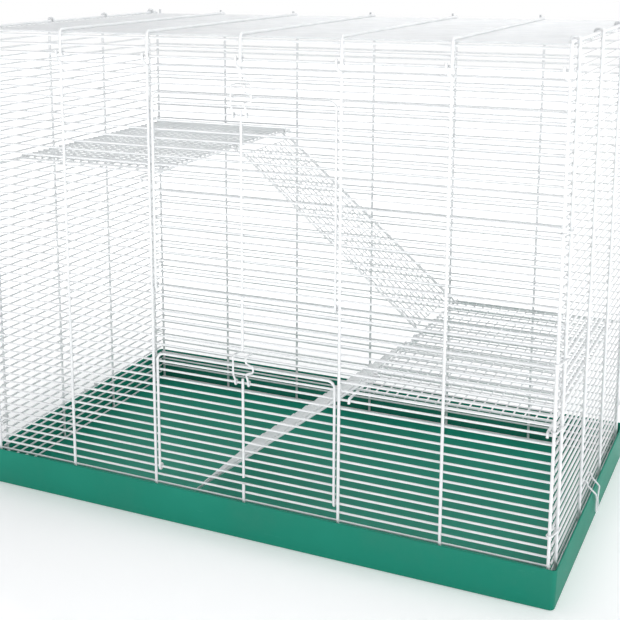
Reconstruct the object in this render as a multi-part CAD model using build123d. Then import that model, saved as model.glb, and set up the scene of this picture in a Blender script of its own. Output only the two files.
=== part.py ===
from build123d import *
import math
import os

os.makedirs("parts", exist_ok=True)

# Small animal cage: a welded wire top that stands in a shallow plastic tray.
# Millimetres. X runs along the front, Y to the back, Z up. The origin is the centre of the tray's
# underside, so the front panel faces -Y.

# Wire sizes, measured across the flats
BAR = 2.8
UPRIGHT = 3.8
FRAME = 3.4
MESH = 2.0
LATCH = 2.4

# Panel grid
BAY = 127.0
PITCH = 11.1
FIRST_BAR = 4.4
FRONT_Y = 223.5
SIDE_X = 380.0
PANEL_END_X = 381.0
SIDE_BAR_END = 218.4
WIRE_FOOT = 3.0
WIRE_TOP = 637.7
ROOF_Z = 633.5
ROOF_FIRST_Y = -217.0
ROOF_ROWS = 40
END_WIRE_X = 379.0
SIDE_WIRE_Y = (-207.0, -69.0, 69.0, 207.0)
LAST_BAR = 56
FRONT_LAST_BAR = 54
JOG = 6.5
HOOK_END_X = 374.5

# Doors, given by the bar that each hangs on and the bar height of its top wire
LOWER_HINGE, LOWER_TOP = 6, 20
UPPER_HINGE, UPPER_TOP = 28, 50
DOOR_HALF = 121.4
DOOR_CORNER = 9.0
DOORWAY_HALF = BAY - UPRIGHT / 2

# Door latches
LATCH_X = -2.0
LATCH_HALF = 8.8
THUMB_X = 16.5
LATCH_FRONT = -231.8
LATCH_BACK = -213.5

# Running room round a hinge bar, and the depth of material in a wire eye
EYE_INSIDE = 2.0
EYE_WIRE = 2.6

# Tray
TRAY_LENGTH = 780.6
TRAY_WIDTH = 467.6
TRAY_HEIGHT = 50.0
TRAY_TAPER = 2.0
TRAY_WALL = 2.5
TRAY_CORNER = 6.0

# Platforms and ramps
UPPER_LEVEL, LOWER_LEVEL = 40, 18
PLATFORM_OUTER_X = 372.0
PLATFORM_INNER_X = 140.0
UPPER_PLATFORM_FRONT = -166.0
LOWER_PLATFORM_FRONT = -204.1
PLATFORM_BACK = 217.0
SEAT_GAP = 0.3
MESH_PITCH = 12.7
RAMP_WIDTH = 168.0
UPPER_RAMP_LAP = 5.0
LOWER_RAMP_LENGTH = 325.0
RAMP_FOOT = 4.9

# Tray clips
CLIP_BAR = 5
CLIP_HALF = 14.0
CLIP_OUT_X = 393.5
CLIP_RING_Z = 25.0
CLIP_RING = 8.0

X_DIR, Y_DIR, Z_DIR = Vector(1, 0, 0), Vector(0, 1, 0), Vector(0, 0, 1)


def bar_z(index):
    """Height of the centre of a line wire, counted from the lowest."""
    return FIRST_BAR + PITCH * index


def wire_x(index):
    """Place along X of a front or back upright; the two end ones stand a little further in."""
    place = (index - 3) * BAY
    return max(-END_WIRE_X, min(END_WIRE_X, place))


def prism(start, end, across, sides=8, flat_towards=Z_DIR):
    """A straight wire with flat sides, one of them facing the given direction."""
    start, end = Vector(*start), Vector(*end)
    along = (end - start).normalized()
    face_y = flat_towards - along * flat_towards.dot(along)
    section = Plane(origin=start, x_dir=face_y.normalized().cross(along), z_dir=along)
    turn = 180 / sides if sides % 4 == 0 else 0
    outline = RegularPolygon(across / 2, sides, major_radius=False, rotation=turn)
    return extrude(section * outline, (end - start).length)


def weld(wires):
    """Fuse touching wires into one solid."""
    return wires[0].fuse(*wires[1:])


def bar_along_x(index, low_x, high_x, y):
    return prism((low_x, y, bar_z(index)), (high_x, y, bar_z(index)), BAR, 6, Y_DIR)


def bar_along_y(index, x):
    height = bar_z(index)
    return prism((x, -SIDE_BAR_END, height), (x, SIDE_BAR_END, height), BAR, 6, X_DIR)


def upright(x, y, low_z, high_z, across=UPRIGHT):
    return prism((x, y, low_z), (x, y, high_z), across, 8, Y_DIR)


def eye(centre, axis, thickness, wire=EYE_WIRE):
    """A closed loop at a wire's end that turns round a bar lying along the axis."""
    low = Vector(*centre) - axis * (thickness / 2)
    high = Vector(*centre) + axis * (thickness / 2)
    hole = extrude(Plane(origin=low, z_dir=axis) * Circle(EYE_INSIDE), thickness)
    return prism(low, high, 2 * (EYE_INSIDE + wire)) - hole


def elbow(place, across):
    """Fills the outer corner where two straight lengths of a bent wire meet."""
    side = 0.72 * across
    return Pos(*place) * Box(side, side, side)


def bent(places, across, flat_towards):
    """One bent wire, as straight lengths from place to place."""
    lengths = [prism(a, b, across, 8, flat_towards) for a, b in zip(places, places[1:])]
    return lengths + [elbow(place, across) for place in places[1:-1]]


def jogged(index, y, bend_z, top_z):
    """An upright whose end steps sideways, to leave room for the roof wire's eye beside it."""
    x = wire_x(index)
    aside = x + JOG if index == 0 else x - JOG
    return bent([(x, y, WIRE_FOOT), (x, y, bend_z), (aside, y, bend_z + JOG), (aside, y, top_z)], UPRIGHT, Y_DIR)


LAYER = (BAR + UPRIGHT) / 2
FRONT_WIRE_Y = -(FRONT_Y + LAYER)
FRONT_BEND_Z = bar_z(FRONT_LAST_BAR - 1) - 0.7
FRONT_WIRE_TOP = bar_z(FRONT_LAST_BAR) + 3.9
BACK_BEND_Z = bar_z(LAST_BAR - 1) - 2.0


def front_side(sign):
    """Two bays of the front panel beside the doors: full-height uprights and every line wire."""
    low_x, high_x = sorted((sign * PANEL_END_X, sign * DOORWAY_HALF))
    wires = [bar_along_x(i, low_x, high_x, -FRONT_Y) for i in range(FRONT_LAST_BAR + 1)]
    for index in ((4, 5, 6) if sign > 0 else (0, 1, 2)):
        wires += jogged(index, FRONT_WIRE_Y, FRONT_BEND_Z, FRONT_WIRE_TOP)
    return weld(wires)


def front_strip(first_bar, last_bar, stub_low, stub_high):
    """The line wires above, between or below the doors, with their short centre upright."""
    held = []
    clear = []
    for i in range(first_bar, last_bar + 1):
        bar = bar_along_x(i, -DOORWAY_HALF, DOORWAY_HALF, -FRONT_Y)
        (held if stub_low < bar_z(i) < stub_high else clear).append(bar)
    if last_bar == FRONT_LAST_BAR:
        steps = [(0, FRONT_BEND_Z), (-JOG, FRONT_BEND_Z + JOG), (-JOG, stub_high)]
        places = [(0, FRONT_WIRE_Y, stub_low)] + [(x, FRONT_WIRE_Y, z) for x, z in steps]
        stub = bent(places, UPRIGHT, Y_DIR)
    else:
        stub = [upright(0, FRONT_WIRE_Y, stub_low, stub_high)]
    return Compound(children=[weld(stub + held)] + clear)


def back_panel():
    wires = [bar_along_x(i, -PANEL_END_X, PANEL_END_X, FRONT_Y) for i in range(LAST_BAR + 1)]
    for index in range(7):
        wires += jogged(index, -FRONT_WIRE_Y, BACK_BEND_Z, WIRE_TOP)
    return weld(wires)


def side_panel(sign):
    """A side panel; its uprights end in hooks that lie over the roof's outer cross wire."""
    wires = [bar_along_y(i, sign * SIDE_X) for i in range(LAST_BAR + 1)]
    outer, inner = sign * (SIDE_X + LAYER), sign * HOOK_END_X
    for y in SIDE_WIRE_Y:
        hook = [(outer, y, WIRE_FOOT), (outer, y, WIRE_TOP), (inner, y, WIRE_TOP), (inner, y, WIRE_TOP - 4.8)]
        wires += bent(hook, UPRIGHT, Y_DIR)
    return weld(wires)


def roof_panel():
    """Cross wires over line wires. At the back each cross wire ends in an eye on the back panel."""
    wires = []
    for index in range(7):
        x = wire_x(index)
        front, back = (x, FRONT_WIRE_Y + UPRIGHT / 2, ROOF_Z), (x, FRONT_Y, ROOF_Z)
        eye_top = (x, FRONT_Y, bar_z(LAST_BAR) + 2.8)
        wires += bent([front, back, eye_top], UPRIGHT, X_DIR)
        wires.append(eye((x, FRONT_Y, bar_z(LAST_BAR)), X_DIR, FRAME))
    for row in range(ROOF_ROWS):
        y = ROOF_FIRST_Y + PITCH * row
        height = ROOF_Z - LAYER
        wires.append(prism((-END_WIRE_X, y, height), (END_WIRE_X, y, height), BAR, 6, Z_DIR))
    return weld(wires)


def roof_front_edge():
    """The roof's turned-down front edge: short uprights, line wires, and eyes on the front panel."""
    wires = []
    for index in range(7):
        x = wire_x(index)
        wires.append(upright(x, FRONT_WIRE_Y, bar_z(FRONT_LAST_BAR) + 2.8, ROOF_Z + UPRIGHT / 2))
        wires.append(eye((x, -FRONT_Y, bar_z(FRONT_LAST_BAR)), X_DIR, FRAME))
    for i in range(FRONT_LAST_BAR + 1, LAST_BAR + 1):
        wires.append(bar_along_x(i, -PANEL_END_X, PANEL_END_X, -FRONT_Y))
    return weld(wires)


DOOR_WIRE_Y = -(FRONT_Y + (BAR + FRAME) / 2)


def door(hinge, top):
    """A welded door: one bent frame wire, line wires behind it, and two eyes on the hinge bar."""
    top_z = bar_z(top)
    shoulder = DOOR_HALF - DOOR_CORNER
    wires = [bar_along_x(i, -DOOR_HALF - 1.6, DOOR_HALF + 1.6, -FRONT_Y) for i in range(hinge + 1, top)]
    for sign in (-1, 1):
        side = sign * DOOR_HALF
        wires.append(upright(side, DOOR_WIRE_Y, bar_z(hinge) + 2.8, top_z - DOOR_CORNER, FRAME))
        corner_low = (side, DOOR_WIRE_Y, top_z - DOOR_CORNER - 0.7)
        corner_high = (sign * (shoulder - 0.7), DOOR_WIRE_Y, top_z)
        wires.append(prism(corner_low, corner_high, FRAME, 8, Y_DIR))
        wires.append(eye((side, -FRONT_Y, bar_z(hinge)), X_DIR, FRAME))
    wires.append(prism((-shoulder, DOOR_WIRE_Y, top_z), (shoulder, DOOR_WIRE_Y, top_z), FRAME, 8, Y_DIR))
    wires.append(upright(0, DOOR_WIRE_Y, bar_z(hinge + 1) - BAR / 2, bar_z(top - 2) + 6.5, FRAME))
    return weld(wires)


def latch(top):
    """A bent wire that turns on a door bar; its arch lies over the panel bar above the door."""
    pivot_z = bar_z(top - 2)
    arch_z = bar_z(top + 1) + BAR / math.sqrt(3) + 0.4 + LATCH / 2
    wires = []
    for x in (LATCH_X - LATCH_HALF, LATCH_X + LATCH_HALF):
        foot = (x, -FRONT_Y - EYE_INSIDE - LATCH / 2, pivot_z)
        knee = (x, LATCH_FRONT, pivot_z + 14)
        hip = (x, LATCH_FRONT, arch_z - 6)
        head = (x, LATCH_FRONT + 5, arch_z)
        end = (x, LATCH_BACK, arch_z)
        bulge = []
        if x > 0:
            bulge = [(THUMB_X, LATCH_FRONT, pivot_z + 19), (THUMB_X, LATCH_FRONT, pivot_z + 25)]
        wires += bent([foot, knee] + bulge + [hip, head, end], LATCH, X_DIR)
        wires.append(eye((x, -FRONT_Y, pivot_z), X_DIR, LATCH, LATCH))
    left, right = LATCH_X - LATCH_HALF - LATCH / 2, LATCH_X + LATCH_HALF + LATCH / 2
    wires.append(prism((left, LATCH_BACK, arch_z), (right, LATCH_BACK, arch_z), LATCH, 8, Y_DIR))
    return weld(wires)


def level_z(level):
    """Centre height of a platform's frame wire, which lies on a line wire with a little room."""
    return bar_z(level) + BAR / math.sqrt(3) + SEAT_GAP + FRAME / 2


def mesh_rows(low, high, pitch):
    """Evenly pitched places between two edges, centred between them."""
    count = int((high - low - pitch) / pitch) + 1
    margin = (high - low - (count - 1) * pitch) / 2
    return [low + margin + pitch * i for i in range(count)]


# The lower platform has three more rows in front, so the rows of both lie at the same places along Y.
MESH_Y = mesh_rows(UPPER_PLATFORM_FRONT, PLATFORM_BACK, MESH_PITCH)


def platform(sign, level, front):
    """A rectangle of frame wire with welded mesh on it. The sign says which side of the cage."""
    low_x, high_x = sorted((sign * PLATFORM_OUTER_X, sign * PLATFORM_INNER_X))
    z = level_z(level)
    frame = [prism((x, front, z), (x, PLATFORM_BACK, z), FRAME) for x in (low_x, high_x)]
    for y in (front, PLATFORM_BACK):
        frame.append(prism((low_x - FRAME / 2, y, z), (high_x + FRAME / 2, y, z), FRAME))
    over = z + FRAME / 2 + MESH / 2
    under = z + FRAME / 2 - MESH / 2
    rows = mesh_rows(front, PLATFORM_BACK, MESH_PITCH)
    for y in rows:
        frame.append(prism((low_x - 1.5, y, over), (high_x + 1.5, y, over), MESH, 4))
    for x in mesh_rows(low_x, high_x, 2 * MESH_PITCH):
        frame.append(prism((x, rows[0] - 1.5, under), (x, rows[-1] + 1.5, under), MESH, 4))
    return weld(frame)


def platform_hooks(sign, level, front):
    """Four arms that reach from the frame's ends to the panels and drop over a line wire."""
    z = level_z(level)
    hook_y = FRONT_Y + BAR / 2 + 0.6 + FRAME / 2
    hook_low = bar_z(level) - 1.0
    hooks = []
    for x in (sign * PLATFORM_OUTER_X, sign * PLATFORM_INNER_X):
        for side, edge in ((-1, front), (1, PLATFORM_BACK)):
            root = (x, edge + side * FRAME / 2, z)
            end = (x, side * (hook_y + FRAME / 2), z)
            drop = prism((x, side * hook_y, z), (x, side * hook_y, hook_low), FRAME, 8, Y_DIR)
            hooks.append(weld([prism(root, end, FRAME), drop]))
    return Compound(children=hooks)


def ramp(length, low_y, high_y):
    """A ramp lying flat along +X from the axis that its two eyes turn on."""
    rails = []
    for y in (low_y, high_y):
        rails.append(prism((EYE_INSIDE + 1.2, y, 0), (length, y, 0), FRAME))
        rails.append(eye((0, y, 0), Y_DIR, FRAME))
    over = FRAME / 2 + MESH / 2
    under = FRAME / 2 - MESH / 2
    first_rung = 11.0
    rungs = int((length - first_rung - 10) / MESH_PITCH) + 1
    places = [first_rung + MESH_PITCH * i for i in range(rungs)]
    for x in places:
        rails.append(prism((x, low_y - 1.5, over), (x, high_y + 1.5, over), MESH, 4))
    for y in mesh_rows(low_y, high_y, 2 * MESH_PITCH):
        rails.append(prism((places[0] - 1.5, y, under), (places[-1] + 1.5, y, under), MESH, 4))
    return weld(rails)


def rail_places(wanted_low):
    """Rail centres that fall midway between two mesh wires of the platform."""
    gaps = [(a + b) / 2 for a, b in zip(MESH_Y, MESH_Y[1:])]
    low = min(gaps, key=lambda y: abs(y - wanted_low))
    high = min(gaps, key=lambda y: abs(y - wanted_low - RAMP_WIDTH))
    return low, high


def upper_ramp():
    """Hangs on the upper platform's edge and lies over the lower platform's edge."""
    low, high = rail_places(44)
    run, drop = 2 * PLATFORM_INNER_X, level_z(UPPER_LEVEL) - level_z(LOWER_LEVEL)
    edge_to_edge = math.hypot(run, drop)
    rise = FRAME / math.cos(math.pi / 8) + SEAT_GAP
    fall = math.degrees(math.atan2(drop, run) - math.asin(rise / edge_to_edge))
    length = edge_to_edge + UPPER_RAMP_LAP
    return Pos(-PLATFORM_INNER_X, 0, level_z(UPPER_LEVEL)) * Rot(0, fall, 0) * ramp(length, low, high)


def lower_ramp():
    """Hangs on the lower platform's edge and reaches down to the tray floor."""
    low, high = rail_places(-138)
    drop = level_z(LOWER_LEVEL) - RAMP_FOOT
    fall = math.degrees(math.asin(drop / LOWER_RAMP_LENGTH))
    flat = ramp(LOWER_RAMP_LENGTH, -high, -low)
    return Pos(PLATFORM_INNER_X, 0, level_z(LOWER_LEVEL)) * Rot(0, -fall, 0) * Rot(0, 0, 180) * flat


def tray_base():
    """The tray: tapered walls, rounded corners, open above."""
    outer = tray_block(TRAY_LENGTH, TRAY_WIDTH, 0, TRAY_HEIGHT, TRAY_CORNER)
    inside_length = TRAY_LENGTH - 2 * TRAY_WALL
    inside_width = TRAY_WIDTH - 2 * TRAY_WALL
    inner = tray_block(inside_length, inside_width, TRAY_WALL, TRAY_HEIGHT, TRAY_CORNER - TRAY_WALL)
    return outer - inner


def tray_block(length, width, low_z, high_z, corner):
    """A block that narrows evenly towards its lower face."""
    low = RectangleRounded(length - 2 * TRAY_TAPER, width - 2 * TRAY_TAPER, corner)
    high = RectangleRounded(length, width, corner)
    return loft([Pos(0, 0, low_z) * low, Pos(0, 0, high_z) * high])


def tray_clip(sign):
    """A wire clip on a side panel bar: two legs that run down outside the tray to a finger ring."""
    pivot_z = bar_z(CLIP_BAR)
    out_x = sign * CLIP_OUT_X
    wires = []
    for side in (-1, 1):
        y = side * CLIP_HALF
        foot = (sign * (SIDE_X + EYE_INSIDE + LATCH / 2), y, pivot_z)
        knee = (out_x, side * (CLIP_HALF - 1), pivot_z - 11)
        ankle = (out_x, side * 2.2, CLIP_RING_Z + CLIP_RING - 2)
        wires += bent([foot, knee, ankle], LATCH, Y_DIR)
        wires.append(eye((sign * SIDE_X, y, pivot_z), Y_DIR, LATCH, LATCH))
    low_x, high_x = out_x - LATCH / 2, out_x + LATCH / 2
    ring = prism((low_x, 0, CLIP_RING_Z), (high_x, 0, CLIP_RING_Z), 2 * CLIP_RING, 8)
    hole = prism((low_x, 0, CLIP_RING_Z), (high_x, 0, CLIP_RING_Z), 2 * (CLIP_RING - LATCH), 8)
    wires.append(ring - hole)
    return weld(wires)


def corner_clips():
    """Small wire rings that tie each front or back end upright to its side panel neighbour."""
    wire = 0.9
    room = UPRIGHT / 2 / math.cos(math.pi / 8) + 0.2 + wire
    rings = []
    for sign_x in (-1, 1):
        for sign_y in (-1, 1):
            first = Vector(sign_x * END_WIRE_X, sign_y * (FRONT_Y + LAYER))
            second = Vector(sign_x * (SIDE_X + LAYER), sign_y * SIDE_WIRE_Y[-1])
            middle = (first + second) / 2
            gap = (second - first).length
            angle = math.degrees(math.atan2(second.Y - first.Y, second.X - first.X))
            path = Wire(SlotCenterToCenter(gap, 2 * room).face().outer_wire().edges())
            start = path.position_at(0)
            section = Plane(origin=start, z_dir=path.tangent_at(0)) * Circle(wire)
            ring = sweep(section, path=path)
            for bar in (7, 18, 25, 38):
                height = bar_z(bar) + PITCH / 2
                rings.append(Pos(middle.X, middle.Y, height) * Rot(0, 0, angle) * ring)
    return Compound(children=rings)


NODES = {
    "tray_base": tray_base,
    "front_grille_left": lambda: front_side(-1),
    "front_grille_right": lambda: front_side(1),
    "front_grille_bottom": lambda: front_strip(0, LOWER_HINGE, WIRE_FOOT, bar_z(LOWER_HINGE) + 1.4),
    "front_grille_middle": lambda: front_strip(
        LOWER_TOP + 1, UPPER_HINGE, bar_z(LOWER_TOP + 2) - 1.4, bar_z(UPPER_HINGE) + 1.4),
    "front_grille_top": lambda: front_strip(
        UPPER_TOP + 1, FRONT_LAST_BAR, bar_z(UPPER_TOP + 2) - 1.4, FRONT_WIRE_TOP),
    "back_panel": back_panel,
    "left_panel": lambda: side_panel(-1),
    "right_panel": lambda: side_panel(1),
    "roof_panel": roof_panel,
    "roof_front_edge": roof_front_edge,
    "upper_door": lambda: door(UPPER_HINGE, UPPER_TOP),
    "lower_door": lambda: door(LOWER_HINGE, LOWER_TOP),
    "upper_door_latch": lambda: latch(UPPER_TOP),
    "lower_door_latch": lambda: latch(LOWER_TOP),
    "upper_platform": lambda: platform(-1, UPPER_LEVEL, UPPER_PLATFORM_FRONT),
    "lower_platform": lambda: platform(1, LOWER_LEVEL, LOWER_PLATFORM_FRONT),
    "upper_platform_hooks": lambda: platform_hooks(-1, UPPER_LEVEL, UPPER_PLATFORM_FRONT),
    "lower_platform_hooks": lambda: platform_hooks(1, LOWER_LEVEL, LOWER_PLATFORM_FRONT),
    "upper_ramp": upper_ramp,
    "lower_ramp": lower_ramp,
    "left_tray_clip": lambda: tray_clip(-1),
    "right_tray_clip": lambda: tray_clip(1),
    "corner_clips": corner_clips,
}

for name, make in NODES.items():
    shape = make()
    export_step(shape, f"parts/{name}.step")
    print(name, len(shape.solids()), round(shape.volume), "faces", len(shape.faces()))
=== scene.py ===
# %% [markdown]
# # A small animal cage in Blender
# This lesson dresses a cage: a white wire top that stands in a green plastic tray. The solids from the CAD model
# are loaded first and stay where they are. Most of them are then replaced by smoother wire work, because the
# solids have wires with flat sides and the real ones are round and bent.

import math

import bpy
from mathutils import Matrix, Vector


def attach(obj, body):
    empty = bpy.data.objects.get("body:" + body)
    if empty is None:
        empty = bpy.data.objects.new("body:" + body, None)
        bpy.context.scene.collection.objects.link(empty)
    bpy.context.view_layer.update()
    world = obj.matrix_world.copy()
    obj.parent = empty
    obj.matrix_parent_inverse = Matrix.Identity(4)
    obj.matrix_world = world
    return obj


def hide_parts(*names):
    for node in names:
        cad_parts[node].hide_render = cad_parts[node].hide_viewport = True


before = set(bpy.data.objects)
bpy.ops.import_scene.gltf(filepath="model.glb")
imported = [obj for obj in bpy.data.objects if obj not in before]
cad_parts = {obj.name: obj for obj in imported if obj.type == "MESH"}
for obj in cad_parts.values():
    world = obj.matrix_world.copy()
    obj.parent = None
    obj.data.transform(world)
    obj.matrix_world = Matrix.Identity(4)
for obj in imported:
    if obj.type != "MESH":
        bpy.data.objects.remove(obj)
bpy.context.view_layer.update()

# %% [markdown]
# ## The camera
# The photograph looks at the cage from the right and a little from above. The place and the lens come from fitting
# a pinhole camera to the tray's edges and the uprights. The fit puts the middle of the lens up and to the left of the
# picture's middle, as a cropped picture would have it, so the lens is shifted.

# %% Camera
PHOTO_SIDE = 620
FOCAL_PIXELS = 1173.4
OPTICAL_CENTRE = (239.4, 185.1)
CAMERA_PLACE = Vector((0.6137, -1.4556, 0.7218))
CAMERA_YAW, CAMERA_PITCH, CAMERA_ROLL = math.radians(26.63), math.radians(11.03), math.radians(-0.47)

camera_data = bpy.data.cameras.new("photo_camera")
camera = bpy.data.objects.new("photo_camera", camera_data)
bpy.context.scene.collection.objects.link(camera)
camera_data.sensor_fit = "HORIZONTAL"
camera_data.lens = camera_data.sensor_width * FOCAL_PIXELS / PHOTO_SIDE
camera_data.shift_x = (PHOTO_SIDE / 2 - OPTICAL_CENTRE[0]) / PHOTO_SIDE
camera_data.shift_y = (OPTICAL_CENTRE[1] - PHOTO_SIDE / 2) / PHOTO_SIDE
forward = Vector((-math.sin(CAMERA_YAW) * math.cos(CAMERA_PITCH),
                  math.cos(CAMERA_YAW) * math.cos(CAMERA_PITCH), -math.sin(CAMERA_PITCH)))
level_right = Vector((math.cos(CAMERA_YAW), math.sin(CAMERA_YAW), 0))
level_up = level_right.cross(forward)
right = math.cos(CAMERA_ROLL) * level_right + math.sin(CAMERA_ROLL) * level_up
up = right.cross(forward)
axes = Matrix((right, up, -forward)).transposed()
camera.matrix_world = Matrix.Translation(CAMERA_PLACE) @ axes.to_4x4()
bpy.context.scene.camera = camera
shift = (round(camera_data.shift_x, 3), round(camera_data.shift_y, 3))
print("lens", round(camera_data.lens, 1), "mm, shift", shift)

# %% [markdown]
# ## Sizes
# These are the same lengths as in the CAD model, in metres. The panels have line wires every 11.1 mm and heavier
# uprights outside them every 127 mm. A wire's size is its radius.

# %% Sizes
MM = 0.001
MERGE_WITHIN, EYE_PLAY = 0.02 * MM, 0.15 * MM
BAR, UPRIGHT, FRAME_WIRE, LATCH_WIRE, MESH_WIRE = 1.4 * MM, 1.9 * MM, 1.7 * MM, 1.2 * MM, 1.0 * MM
PITCH, FIRST_BAR = 11.1 * MM, 4.4 * MM
BAY = 127 * MM
FRONT_Y, SIDE_X, PANEL_END_X = 223.5 * MM, 380 * MM, 381 * MM
UPRIGHT_Y, UPRIGHT_X = FRONT_Y + BAR + UPRIGHT, SIDE_X + BAR + UPRIGHT
END_WIRE_X, SIDE_WIRE_Y = 379 * MM, (-207 * MM, -69 * MM, 69 * MM, 207 * MM)
WIRE_FOOT, ROOF_Z, HOOK_Z = 3 * MM, 633.5 * MM, 637.7 * MM
MIDDLE, ALL_BUT_MIDDLE = 3, (0, 1, 2, 4, 5, 6)
DOORWAY_HALF = BAY - UPRIGHT
LOWER_HINGE, LOWER_TOP, UPPER_HINGE, UPPER_TOP = 6, 20, 28, 50
FRONT_LAST_BAR, LAST_BAR = 54, 56


def bar_z(index):
    """Height of a line wire's centre, counted from the lowest."""
    return FIRST_BAR + PITCH * index


def upright_x(index):
    """Place along X of a front or back upright; the end ones stand a little further in."""
    return max(-END_WIRE_X, min(END_WIRE_X, (index - MIDDLE) * BAY))


print("top line wire at", round(bar_z(LAST_BAR) / MM, 1), "mm")

# %% [markdown]
# ## Working in edit mode
# Every operator acts on whatever is selected, so each piece starts from a clean selection. These few helpers say
# what the hands do: start a piece, select faces or edges by their place, and leave edit mode again.

# %% Edit mode helpers
def clear_selection():
    if bpy.context.object and bpy.context.object.mode != "OBJECT":
        bpy.ops.object.mode_set(mode="OBJECT")
    bpy.ops.object.select_all(action="DESELECT")


def start_editing():
    bpy.ops.object.mode_set(mode="EDIT")


def stop_editing():
    bpy.ops.object.mode_set(mode="OBJECT")


def pick(piece, kind, wanted):
    """Select only the vertices, edges or faces whose middle and normal the test wants."""
    stop_editing()
    mesh = piece.data
    for group in (mesh.vertices, mesh.edges, mesh.polygons):
        group.foreach_set("select", [False] * len(group))
    bpy.context.tool_settings.mesh_select_mode = (kind == "vertex", kind == "edge", kind == "face")
    if kind == "face":
        for face in mesh.polygons:
            face.select = wanted(face.center, face.normal)
    elif kind == "edge":
        for edge in mesh.edges:
            low, high = (mesh.vertices[i].co for i in edge.vertices)
            edge.select = wanted((low + high) / 2, (high - low).normalized())
    else:
        for vertex in mesh.vertices:
            vertex.select = wanted(vertex.co, vertex.normal)
    start_editing()


def apply_modifier(piece, kind, **settings):
    """Add one modifier, set it and apply it at once."""
    stop_editing()
    modifier = piece.modifiers.new(kind.lower(), kind)
    for key, value in settings.items():
        setattr(modifier, key, value)
    bpy.context.view_layer.objects.active = piece
    piece.select_set(True)
    bpy.ops.object.modifier_apply(modifier=modifier.name)


def close_up(piece):
    """Merge doubles, fill open ends and turn every face outwards."""
    start_editing()
    bpy.ops.mesh.select_all(action="SELECT")
    bpy.ops.mesh.remove_doubles(threshold=MERGE_WITHIN / 2)
    bpy.ops.mesh.fill_holes(sides=0)
    bpy.ops.mesh.normals_make_consistent(inside=False)
    stop_editing()


def hold(piece):
    """Make one piece the only one selected, and the active one."""
    clear_selection()
    piece.select_set(True)
    bpy.context.view_layer.objects.active = piece


def open_copy(piece):
    """A copy with its own mesh, in edit mode with everything selected."""
    twin = piece.copy()
    twin.data = piece.data.copy()
    bpy.context.scene.collection.objects.link(twin)
    hold(twin)
    start_editing()
    bpy.ops.mesh.select_all(action="SELECT")
    return twin


def copy_moved(piece, offset):
    """A copy moved by the offset."""
    twin = open_copy(piece)
    bpy.ops.transform.translate(value=offset)
    stop_editing()
    return twin


def copy_to_other_side(piece, name):
    """A copy mirrored to the cage's other side, turned the right way out again."""
    twin = open_copy(piece)
    bpy.ops.transform.resize(value=(-1, 1, 1), center_override=(0, 0, 0))
    bpy.ops.mesh.normals_make_consistent(inside=False)
    stop_editing()
    twin.name = name
    return twin


def join(name, pieces):
    """Join pieces into one object with the given name."""
    clear_selection()
    for piece in pieces:
        piece.select_set(True)
    bpy.context.view_layer.objects.active = pieces[0]
    if len(pieces) > 1:
        bpy.ops.object.join()
    pieces[0].name = name
    pieces[0].data.name = name
    return pieces[0]


print("helpers ready")

# %% [markdown]
# ## Straight wire
# A line wire is drawn steel, cut off clean and coated. A cylinder is the start; an inset softens the edge of its two
# cut ends, and an Array modifier repeats the wire along the panel.

# %% Straight wires
WIRE_SIDES, LATCH_SIDES, MESH_SIDES = 12, 10, 8
END_INSET, END_RISE = 0.3, 0.12


def straight_wire(name, low, high, radius, sides=WIRE_SIDES):
    """One straight wire between two places along X, Y or Z, with softened ends."""
    clear_selection()
    along = high - low
    turn = along.to_track_quat("Z", "Y").to_euler()
    bpy.ops.mesh.primitive_cylinder_add(vertices=sides, radius=radius, depth=along.length,
                                        location=(low + high) / 2, rotation=turn)
    piece = bpy.context.object
    bpy.ops.object.transform_apply(location=True, rotation=True, scale=True)
    piece.name = name
    unit = along.normalized()
    pick(piece, "face", lambda middle, normal: abs(normal.dot(unit)) > 0.9)
    bpy.ops.mesh.inset(thickness=radius * END_INSET, depth=radius * END_RISE, use_boundary=True)
    stop_editing()
    return piece


def wire_row(name, low, high, radius, count, step, sides=WIRE_SIDES):
    """A row of equal straight wires, each a step further on."""
    piece = straight_wire(name, low, high, radius, sides)
    if count > 1:
        apply_modifier(piece, "ARRAY", count=count, use_relative_offset=False, use_constant_offset=True,
                       constant_offset_displace=step)
    return piece


print("a wire has", WIRE_SIDES, "sides")

# %% [markdown]
# ## Bent wire
# A wire bender feeds the wire straight, turns it round a pin, and feeds it on. In edit mode the same is done with a
# ring of vertices: extrude feeds it straight, and spin takes it round the pin. The helper is given the corner places
# and the bend radius, and can begin or end with an eye, which is a longer turn round the bar it holds.

# %% Bent wires
BEND_STEPS_PER_TURN = 28


def spin_ring(angle, centre, axis):
    """Take the open ring round a pin. Spin turns the other way from the right-hand rule, hence the minus."""
    steps = max(2, round(BEND_STEPS_PER_TURN * abs(angle) / (2 * math.pi)))
    bpy.ops.mesh.spin(steps=steps, angle=-angle, center=centre, axis=axis, dupli=False)


def turned(vector, axis, angle):
    """A vector turned about an axis by the right-hand rule."""
    along = axis * vector.dot(axis)
    across = vector - along
    return along + across * math.cos(angle) + axis.cross(across) * math.sin(angle)


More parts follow.
